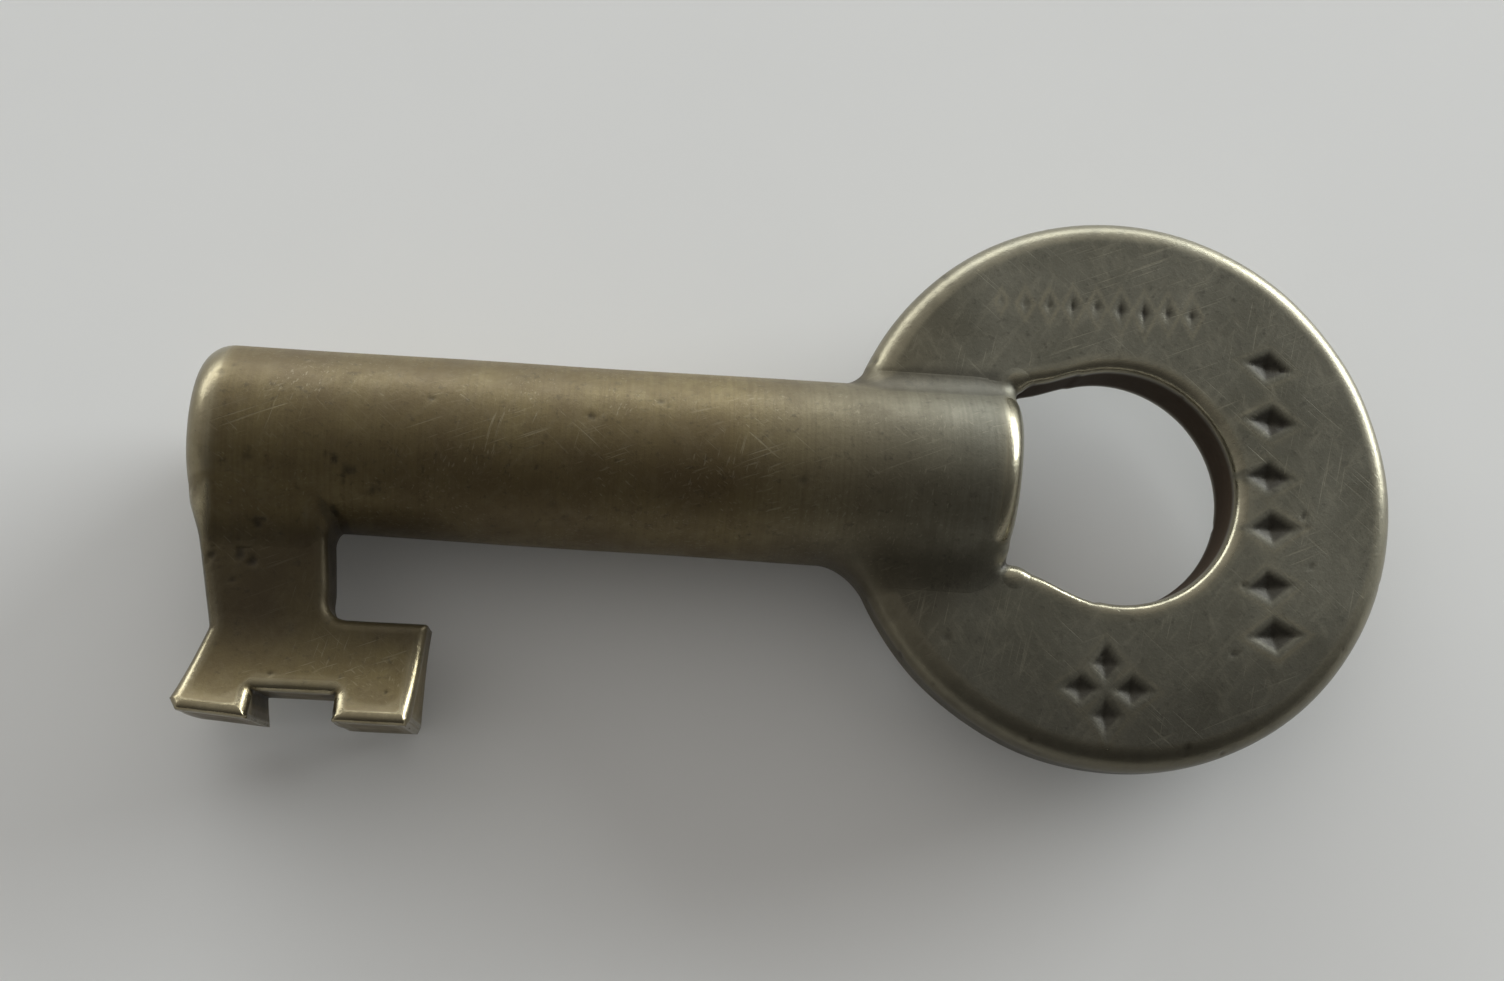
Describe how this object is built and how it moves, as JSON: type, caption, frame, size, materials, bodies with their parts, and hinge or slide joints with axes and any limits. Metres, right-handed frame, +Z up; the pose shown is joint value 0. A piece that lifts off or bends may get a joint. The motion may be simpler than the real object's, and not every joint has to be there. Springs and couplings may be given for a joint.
{
  "type": "railroad switch key",
  "caption": "Brass switch key: a drilled barrel with a flared, notched bit on one side of its tip and a flat round bow with an eye at the other end.",
  "frame": {"origin": "on the ground under the middle of the key's outline as it lies at rest", "axes": "+X along the barrel from the tip to the bow, -Y to the side that the bit is on, +Z up"},
  "size_m": [0.0534, 0.0254, 0.0082],
  "materials": {
    "barrel_brass": "aged, satin, worn brighter on the edges",
    "bow_brass": "aged grey-brown patina, finely scratched",
    "bit_brass": "aged and pitted, worn bright on the foot",
    "braze_filler": "aged, smooth"
  },
  "bodies": {
    "root": {"barrel": "barrel_brass", "bow": "bow_brass", "bit": "bit_brass", "bow_braze": "braze_filler", "bit_braze": "braze_filler"}
  },
  "joints": []
}
